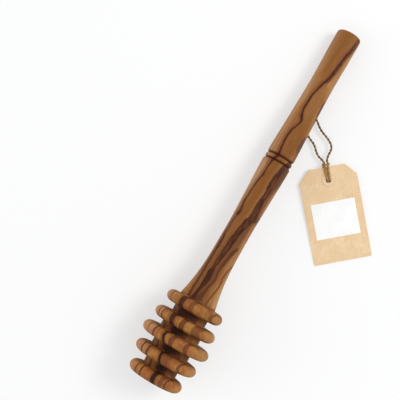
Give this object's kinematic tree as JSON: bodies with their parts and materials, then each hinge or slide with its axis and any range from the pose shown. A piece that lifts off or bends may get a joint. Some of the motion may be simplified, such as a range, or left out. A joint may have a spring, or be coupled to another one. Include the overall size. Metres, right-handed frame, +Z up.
{
  "type": "honey dipper",
  "caption": "Turned wooden honey dipper with a ringed head and a slim beaded handle, beside its kraft hang tag on a loop of jute twine.",
  "frame": {"origin": "on the table, under the middle of the dipper as it lies", "axes": "+X along the dipper from its head to its handle's end, +Y across it away from the tag, +Z up from the table"},
  "size_m": [0.1604, 0.0676, 0.0291],
  "materials": {
    "olive_wood": "oiled olive wood, golden brown with dark veins, satin",
    "jute_twine": "two-ply jute twine, matt and slightly hairy",
    "kraft_card": "smooth pale kraft card, matt",
    "ring_paper": "kraft paper reinforcing ring, matt",
    "label_paper": "plain white sticker paper, matt"
  },
  "bodies": {
    "dipper": {"dipper": "olive_wood"},
    "string": {"twine_loop": "jute_twine"},
    "tag": {"twine_hitch": "jute_twine", "tag_card": "kraft_card", "hole_ring": "ring_paper", "label": "label_paper"}
  },
  "joints": [
    {"name": "string_slide", "type": "slide", "parent": "dipper", "child": "string", "axis": [-0.5291, -0.8486, 0], "range_m": [0, 0.03]},
    {"name": "tag_swing", "type": "hinge", "parent": "string", "child": "tag", "pos_m": [0.03008, -0.01781, 0.0024], "axis": [0, 0, 1], "range_deg": [-20, 20]}
  ]
}
